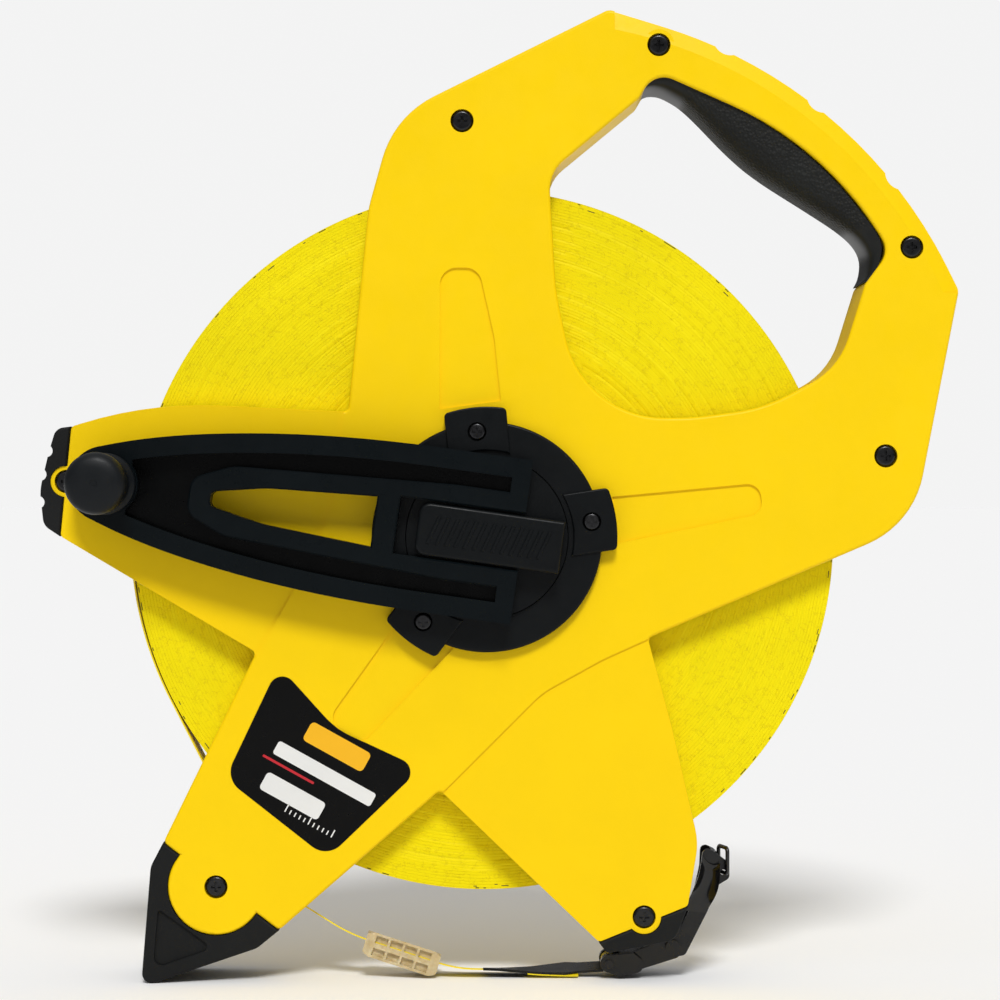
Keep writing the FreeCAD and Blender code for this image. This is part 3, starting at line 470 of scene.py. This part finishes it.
def make_edge_marks(materials):
    """Ends of the printed marks, seen here and there on the last wraps of the pack."""
    points = []
    faces = []
    for _ in range(EDGE_MARKS):
        angle = random.uniform(0, 360)
        radius = PACK_OUTER - random.choice((0.5, 0.5, 1.1, 1.7))
        half = random.uniform(0.2, 0.7)
        base = len(points)
        for y in (-TAPE_HALF, -TAPE_HALF + 0.3):
            for across, along in ((-0.14, -1), (0.14, -1), (0.14, 1), (-0.14, 1)):
                here = polar(radius + across, angle + along * half)
                points.append(spot(here.x + PACK_SHIFT[0], y, here.y + PACK_SHIFT[1]))
        faces += [tuple(base + k for k in corners) for corners in
                  ((3, 2, 1, 0), (4, 5, 6, 7), (0, 1, 5, 4), (1, 2, 6, 5), (2, 3, 7, 6), (3, 0, 4, 7))]
    marks = mesh_object("edge_marks", points, faces, materials["ink"], smooth=False)
    return place(marks, "drum", "tape_yellow")


# ---------------------------------------------------------------- tape run and strap

def run_corners():
    """Corners of the tape's path from the pack, over the roller, to the strap."""
    start = polar(LEAD_R, LEAD_ANGLE)
    along = polar(1, LEAD_ANGLE + 90)
    out = polar(1, EXIT_SLOPE)
    reach = (Vector(TAPE_EXIT[:2]) - start).cross(out) / along.cross(out)
    bend = start + along * reach
    return [(*start,), (*bend, TURN_R), TAPE_EXIT, TAPE_LOW, STRAP_START]


def rounded_path(corners, step=1.5):
    """Points along straight runs and tangent arcs, spaced by about one step."""
    path = [Vector(corners[0][:2])]
    for before, here, after in zip(corners, corners[1:], corners[2:]):
        p = Vector(here[:2])
        a = (Vector(before[:2]) - p).normalized()
        b = (Vector(after[:2]) - p).normalized()
        half = a.angle(b) / 2
        reach = here[2] / math.tan(half)
        centre = p + (a + b).normalized() * (here[2] / math.sin(half))
        start = p + a * reach - centre
        sweep = math.pi - 2 * half
        if (a.x * b.y - a.y * b.x) > 0:
            sweep = -sweep
        count = max(4, int(abs(sweep) * here[2] / step))
        for index in range(count + 1):
            turn = sweep * index / count
            cos, sin = math.cos(turn), math.sin(turn)
            path.append(centre + Vector((start.x * cos - start.y * sin, start.x * sin + start.y * cos)))
    path.append(Vector(corners[-1][:2]))
    filled = [path[0]]
    for point in path[1:]:
        gap = point - filled[-1]
        parts = max(1, int(gap.length / (3 * step)))
        base = filled[-1].copy()
        for index in range(1, parts + 1):
            filled.append(base + gap * index / parts)
    return filled


def band_along(name, path, half_width, thickness, roll, material):
    """Flat strip along a path in the XZ plane; half_width(t) wide and tipped by roll(t)."""
    lengths = [0.0]
    for a, b in zip(path, path[1:]):
        lengths.append(lengths[-1] + (b - a).length)
    sections = []
    uvs = []
    for index, point in enumerate(path):
        before = path[max(0, index - 1)]
        after = path[min(len(path) - 1, index + 1)]
        tangent = (after - before).normalized()
        normal = Vector((-tangent.y, tangent.x))
        share = lengths[index] / lengths[-1]
        tip = math.radians(roll(share))
        section = []
        for side, level in ((-1, -0.5), (1, -0.5), (1, 0.5), (-1, 0.5)):
            y = side * half_width(share)
            up = level * thickness
            lift = up * math.cos(tip) + y * math.sin(tip)
            depth = y * math.cos(tip) - up * math.sin(tip)
            section.append(spot(point.x + normal.x * lift, depth, point.y + normal.y * lift))
            uvs.append((lengths[index], (side + 1) / 2))
        sections.append(section)
    piece = ring_sweep(name, sections, material, smooth=False)
    layer = piece.data.uv_layers.new(name="along")
    for loop in piece.data.loops:
        layer.data[loop.index].uv = uvs[loop.vertex_index]
    auto_smooth(piece, 40)
    return piece


def smooth_step(value):
    value = max(0.0, min(1.0, value))
    return value * value * (3 - 2 * value)


def make_tape_run(materials):
    """The tape from the last wrap of the pack to the strap, tipped a little by its own set."""
    wrap = [polar(LEAD_R, LEAD_ANGLE - step) for step in range(LAST_WRAP, 0, -1)]
    path = wrap + rounded_path(run_corners())
    run = band_along("tape_run", path, lambda t: TAPE_HALF, 0.5,
                     lambda t: -9.0 * smooth_step((t - 0.62) / 0.07), materials["printed"])
    return place(run, "frame", "tape_yellow", "tape_lead")


def strap_path():
    pin = Vector((PIN.x, PIN.z)) * 1000
    return rounded_path([STRAP_START, (17.0, -158.8, 60.0), (pin.x - 2.0, pin.y - 2.2)])


def strap_half(t):
    """Half width of the strap, which narrows to pass between the cheeks of the hook."""
    return TAPE_HALF - 0.3 - 1.8 * smooth_step((t - 0.74) / 0.06)


def strap_roll(t):
    """Twist of the strap from the set of the tape to that of the hook."""
    return -9.0 + 21.0 * smooth_step(t * 1.1)


def make_strap(materials):
    """Black reinforcement over the end of the tape, twisting up towards the hook."""
    strap = band_along("end_strap", strap_path(), strap_half, 0.9, strap_roll, materials["strap_black"])
    place(strap, "frame", "strap_black", "tape_end_strap")
    pin = Vector((PIN.x, PIN.z)) * 1000
    below = [point - Vector((0, 0.75)) for point in strap_path() if 12 < point.x < pin.x - WING_R]
    under = band_along("tape_under_strap", below, lambda t: TAPE_HALF, 0.4,
                       lambda t: strap_roll(0.3 + t * 0.5), materials["printed"])
    place(under, "frame", "tape_yellow")
    sections = []
    for step in range(20):
        angle = 2 * math.pi * step / 20
        ring = []
        for radius, y in ((1.6, -4.4), (2.7, -4.4), (2.7, 4.4), (1.6, 4.4)):
            ring.append(spot(pin.x + radius * math.cos(angle), y, pin.y + radius * math.sin(angle)))
        sections.append(ring)
    points = [point for ring in sections for point in ring]
    loop = mesh_object("strap_loop", points, grid_faces(20, 4, True, True), materials["printed"])
    auto_smooth(loop)
    loop.data.uv_layers.new(name="along")
    place(loop, "frame", "strap_black")
    return strap


# ---------------------------------------------------------------- grip

GRIP_OUTER = [(53.8, 157.9), (55.4, 161.4), (58.9, 164.2), (66.7, 166.5), (80.8, 160.3),
              (102.7, 147.4), (122.3, 131.7), (137.1, 114.5), (141.8, 107), (142, 101.2),
              (139.1, 93.4), (135.8, 91.8)]
GRIP_INNER = [(54, 158.6), (57.4, 161.7), (61.3, 162.1), (66.1, 160.1), (73.2, 154.9),
              (88.3, 139.4), (99.4, 130.3), (116.9, 119.2), (128, 112.1), (134.4, 106.5),
              (137.1, 100.9), (136.5, 93.4)]
GRIP_DEPTH = 15.2
GRIP_STATIONS = 72          # sections along the grip
GRIP_STEPS = 22             # steps round each of them


def curve_points(points, count):
    """Even steps along a smooth curve through points."""
    dense = []
    last = len(points) - 1
    for index in range(last):
        p0 = Vector(points[max(0, index - 1)])
        p1 = Vector(points[index])
        p2 = Vector(points[index + 1])
        p3 = Vector(points[min(last, index + 2)])
        for part in range(12):
            t = part / 12
            dense.append(0.5 * ((2 * p1) + (p2 - p0) * t + (2 * p0 - 5 * p1 + 4 * p2 - p3) * t * t
                                + (3 * p1 - p0 - 3 * p2 + p3) * t ** 3))
    dense.append(Vector(points[last]))
    lengths = [0.0]
    for a, b in zip(dense, dense[1:]):
        lengths.append(lengths[-1] + (b - a).length)
    result = []
    index = 0
    for part in range(count):
        want = lengths[-1] * part / (count - 1)
        while index < len(dense) - 2 and lengths[index + 1] < want:
            index += 1
        share = (want - lengths[index]) / max(1e-9, lengths[index + 1] - lengths[index])
        result.append(dense[index].lerp(dense[index + 1], min(1.0, share)))
    return result


def make_grip(materials):
    """Palm swell: flat against the shell, rounded over to a full inner edge."""
    count = GRIP_STATIONS
    arc = GRIP_STEPS
    outer = curve_points(GRIP_OUTER, count)
    inner = curve_points(GRIP_INNER, count)
    sections = []
    uvs = []
    for index, (o, i) in enumerate(zip(outer, inner)):
        section = []
        for step in range(arc + 1):
            turn = math.pi * (step / arc - 0.5)
            y = GRIP_DEPTH * math.copysign(abs(math.sin(turn)) ** 0.62, math.sin(turn))
            share = abs(math.cos(turn)) ** 0.55
            point = o.lerp(i, share)
            section.append(spot(point.x, y, point.y))
            uvs.append((index / (count - 1), step / arc))
        sections.append(section)
    grip = ring_sweep("palm_grip", sections, materials["grip_rubber"])
    layer = grip.data.uv_layers.new(name="along")
    for loop in grip.data.loops:
        layer.data[loop.index].uv = uvs[loop.vertex_index]
    auto_smooth(grip, 60)
    return place(grip, "frame", "grip_rubber", "handle_grip")


# ---------------------------------------------------------------- knob

def make_knob(materials):
    """Lathe-turned knob with collar, waist, soft dome and a moulding gate mark."""
    low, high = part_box("crank_knob")
    axis_x = (low.x + high.x) / 2
    axis_z = (low.z + high.z) / 2
    radius = (high.x - low.x) / 2
    length = high.y - low.y
    profile = [(0.30, 0.0), (0.97, 0.0), (1.0, 0.012), (1.0, 0.085), (0.97, 0.105), (0.86, 0.13),
               (0.81, 0.18), (0.80, 0.26), (0.82, 0.38), (0.87, 0.52), (0.93, 0.64), (0.98, 0.74),
               (0.995, 0.80), (0.985, 0.86), (0.94, 0.915), (0.86, 0.955), (0.72, 0.98), (0.5, 0.993),
               (0.25, 0.997), (0.12, 0.9975), (0.10, 0.990), (0.05, 0.990), (0.045, 0.9965), (0.008, 0.998)]
    sections = []
    for share, along in profile:
        ring = []
        for step in range(72):
            angle = 2 * math.pi * step / 72
            ring.append(Vector((axis_x + share * radius * math.cos(angle), high.y - along * length,
                                axis_z + share * radius * math.sin(angle))))
        sections.append(ring)
    knob = ring_sweep("turning_knob", sections, materials["knob_black"])
    auto_smooth(knob, 40)
    return place(knob, "knob", "knob_black", "crank_knob")


# ---------------------------------------------------------------- crank block ribs

def make_block_ribs(materials):
    """Raised slanted ribs on the block of the crank, as a finger grip."""
    top = (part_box("crank_block")[0].y - HUB.y) * 1000
    along = Vector((math.cos(CRANK_ANGLE), math.sin(CRANK_ANGLE)))
    across = Vector((-along.y, along.x))
    points = []
    faces = []
    for index in range(13):
        middle = -20.5 + index * 3.3
        lean = 1.6
        base = len(points)
        for level, inset in ((0.0, 0.0), (-0.35, 0.3)):
            for end in (-1, 1):
                for side in (-1, 1):
                    shift = middle + lean * end + side * (0.75 - inset)
                    here = along * shift + across * end * (5.2 - inset)
                    points.append(spot(here.x, top + level, here.y))
        a = [base + k for k in range(8)]
        faces += [(a[0], a[1], a[5], a[4]), (a[1], a[3], a[7], a[5]), (a[3], a[2], a[6], a[7]),
                  (a[2], a[0], a[4], a[6]), (a[4], a[5], a[7], a[6]), (a[0], a[2], a[3], a[1])]
    ribs = mesh_object("crank_block_ribs", points, faces, materials["hub_black"], smooth=False)
    return place(ribs, "crank", "hub_black")


# ---------------------------------------------------------------- label print

LABEL_SLOPE = -29.0
PRINT_LIFT = 0.06           # thickness of the print
TICKS = 11
TICK_PITCH = 1.9
TICK_CENTRE = (-64.5, -103.5)


def label_patch(name, corners, material):
    """Thin printed patch on the label, from corners in millimetres."""
    top = (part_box("label")[0].y - HUB.y) * 1000
    points = [spot(x, top - PRINT_LIFT, z) for x, z in corners]
    points += [spot(x, top + 0.02, z) for x, z in corners]
    count = len(corners)
    faces = [tuple(range(count))[::-1], tuple(range(count, 2 * count))]
    faces += [(k, (k + 1) % count, count + (k + 1) % count, count + k) for k in range(count)]
    patch = mesh_object(name, points, faces, material, smooth=False)
    return place(patch, "frame", "label_film")


def rounded_bar(centre, length, height, angle, radius, steps=5):
    """Corners of a bar with round corners, turned by an angle in degrees."""
    corners = []
    for sx, sz, start in ((1, 1, 0), (-1, 1, 90), (-1, -1, 180), (1, -1, 270)):
        for step in range(steps + 1):
            turn = math.radians(start + 90 * step / steps)
            x = sx * (length / 2 - radius) + radius * math.cos(turn)
            z = sz * (height / 2 - radius) + radius * math.sin(turn)
            corners.append((x, z))
    tilt = math.radians(angle)
    return [(centre[0] + x * math.cos(tilt) - z * math.sin(tilt),
             centre[1] + x * math.sin(tilt) + z * math.cos(tilt)) for x, z in corners]


def make_label_print(materials):
    """Generic print: a blank yellow badge, plain bars and a short scale."""
    patches = [("label_badge", (-54.0, -75.5), 24.5, 7.6, 1.6, "label_yellow"),
               ("label_bar_top", (-58.5, -85.2), 40.0, 5.2, 1.0, "label_white"),
               ("label_line_red", (-71.5, -83.6), 21.0, 0.9, 0.4, "label_red"),
               ("label_bar_low", (-70.0, -93.2), 24.0, 7.0, 1.4, "label_white")]
    for name, centre, length, height, radius, paint in patches:
        bar = rounded_bar(centre, length, height, LABEL_SLOPE, radius)
        label_patch(name, bar, materials[paint])
    tilt = math.radians(LABEL_SLOPE)
    for index in range(TICKS):
        tall = 3.0 if index % 5 == 0 else 1.7
        shift = (index - TICKS // 2) * TICK_PITCH
        x = TICK_CENTRE[0] + shift * math.cos(tilt) - tall / 2 * math.sin(tilt)
        z = TICK_CENTRE[1] + shift * math.sin(tilt) + tall / 2 * math.cos(tilt)
        tick = rounded_bar((x, z), 0.45, tall, LABEL_SLOPE, 0.1, 1)
        label_patch("label_tick_%02d" % index, tick, materials["label_white"])


# ---------------------------------------------------------------- end hook

BAIL_TURN = 16.0


SCOOP_LEFT = [(71.6, -136.0), (74.6, -128.4), (76.8, -122.5), (78.0, -115.4)]
SCOOP_RIGHT = [(79.4, -136.8), (82.6, -131.0), (84.2, -125.6), (84.5, -118.4)]
SCOOP_FRONT = -7.0          # floor of the dish, just proud of the arm
SCOOP_RIM = 2.6


def make_scoop(materials):
    """Polished dish on the upper part of the grab arm, rolled over at its top."""
    rows = 26
    columns = 15
    left = curve_points(SCOOP_LEFT, rows)
    right = curve_points(SCOOP_RIGHT, rows)
    points = []
    for behind in (0.0, 0.8):
        for row in range(rows):
            t = row / (rows - 1)
            for column in range(columns):
                share = column / (columns - 1)
                hollow = 1 - abs(2 * share - 1) ** 2.2
                here = left[row].lerp(right[row], share)
                rim = SCOOP_RIM * smooth_step(t * 2) * (1 - hollow)
                roll = 1.5 * smooth_step((t - 0.75) / 0.25) ** 2
                points.append(spot(here.x, SCOOP_FRONT - rim - roll * hollow + behind,
                                   here.y - 2.0 * hollow * t ** 5))
    count = rows * columns
    faces = grid_faces(rows, columns)
    faces += [tuple(count + corner for corner in reversed(face)) for face in grid_faces(rows, columns)]
    border = list(range(columns)) + [row * columns + columns - 1 for row in range(1, rows)]
    border += [count - 1 - step for step in range(1, columns)]
    border += [row * columns for row in range(rows - 2, 0, -1)]
    for a, b in zip(border, border[1:] + border[:1]):
        faces.append((b, a, count + a, count + b))
    scoop = mesh_object("grab_scoop", points, faces, materials["polished"])
    auto_smooth(scoop, 50)
    return place(scoop, "grab", "hook_steel")


def make_bail(materials):
    """Long wire bail through the tip of the grab arm."""
    low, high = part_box("hook_ring")
    centre = (low + high) / 2
    wire = 0.00075
    half_y = (high.y - low.y) / 2 - wire
    half_z = (high.z - low.z) / 2 - wire
    radius = 0.0016
    path = []
    for sy, sz, start in ((1, 1, 0), (-1, 1, 90), (-1, -1, 180), (1, -1, 270)):
        for step in range(7):
            turn = math.radians(start + 15 * step)
            path.append(Vector((0, sy * (half_y - radius) + radius * math.cos(turn),
                                sz * (half_z - radius) + radius * math.sin(turn))))
    points = []
    slant = Matrix.Rotation(math.radians(BAIL_TURN), 3, "Z")
    for index, here in enumerate(path):
        tangent = (path[(index + 1) % len(path)] - path[index - 1]).normalized()
        side = tangent.cross(Vector((1, 0, 0)))
        for step in range(12):
            turn = 2 * math.pi * step / 12
            offset = Vector((1, 0, 0)) * math.cos(turn) * wire + side * math.sin(turn) * wire
            points.append(centre + slant @ (here + offset))
    bail = mesh_object("hook_bail", points, grid_faces(len(path), 12, True, True), materials["ring_steel"])
    return place(bail, "ring", "ring_steel", "hook_ring")


# ---------------------------------------------------------------- stage

def make_floor():
    """Plain pale floor under the reel."""
    material = new_material("floor_mat", (0.97, 0.97, 0.97), 0.9, specular=0.0)
    points = [(-FLOOR_HALF, -FLOOR_HALF, 0), (FLOOR_HALF, -FLOOR_HALF, 0),
              (FLOOR_HALF, FLOOR_HALF, 0), (-FLOOR_HALF, FLOOR_HALF, 0)]
    floor = mesh_object("floor", points, [(0, 1, 2, 3)], material, smooth=False)


def make_lights():
    """A broad soft key from above in front, and a studio that is bright overhead."""
    data = bpy.data.lights.new("key", "SUN")
    data.energy = KEY_STRENGTH
    data.angle = math.radians(KEY_SPREAD)
    lamp = bpy.data.objects.new("key", data)
    lamp.rotation_euler = Vector(KEY_FROM).to_track_quat("Z", "Y").to_euler()
    bpy.context.scene.collection.objects.link(lamp)
    world = bpy.data.worlds.new("studio")
    world.use_nodes = True
    tree = world.node_tree
    coords = tree.nodes.new("ShaderNodeTexCoord")
    parts = tree.nodes.new("ShaderNodeSeparateXYZ")
    overhead = tree.nodes.new("ShaderNodeMapRange")
    overhead.inputs["To Min"].default_value = HORIZON_GLOW
    overhead.inputs["To Max"].default_value = OVERHEAD_GLOW
    surround = tree.nodes["Background"]
    surround.inputs["Color"].default_value = (1, 1, 1, 1)
    backdrop = tree.nodes.new("ShaderNodeBackground")
    backdrop.inputs["Color"].default_value = (1, 1, 1, 1)
    backdrop.inputs["Strength"].default_value = BACKDROP
    seen = tree.nodes.new("ShaderNodeLightPath")
    either = tree.nodes.new("ShaderNodeMixShader")
    tree.links.new(coords.outputs["Generated"], parts.inputs[0])
    tree.links.new(parts.outputs["Z"], overhead.inputs["Value"])
    tree.links.new(overhead.outputs["Result"], surround.inputs["Strength"])
    tree.links.new(seen.outputs["Is Camera Ray"], either.inputs[0])
    tree.links.new(surround.outputs[0], either.inputs[1])
    tree.links.new(backdrop.outputs[0], either.inputs[2])
    tree.links.new(either.outputs[0], tree.nodes["World Output"].inputs["Surface"])
    bpy.context.scene.world = world
    bpy.context.scene.view_settings.view_transform = "Standard"


def make_camera():
    data = bpy.data.cameras.new("camera")
    data.lens = LENS
    data.sensor_width = 36.0
    camera = bpy.data.objects.new("camera", data)
    camera.location = spot(VIEW_CENTRE[0], FACE - VIEW_DISTANCE, VIEW_CENTRE[1])
    camera.rotation_euler = (math.pi / 2, 0, 0)
    bpy.context.scene.collection.objects.link(camera)
    bpy.context.scene.camera = camera


def main():
    make_camera()
    materials = make_materials()
    paint_frame(materials)
    make_wound_tape(materials)
    make_edge_marks(materials)
    make_tape_run(materials)
    make_strap(materials)
    make_grip(materials)
    make_knob(materials)
    make_block_ribs(materials)
    make_label_print(materials)
    make_scoop(materials)
    make_bail(materials)
    make_floor()
    make_lights()


main()
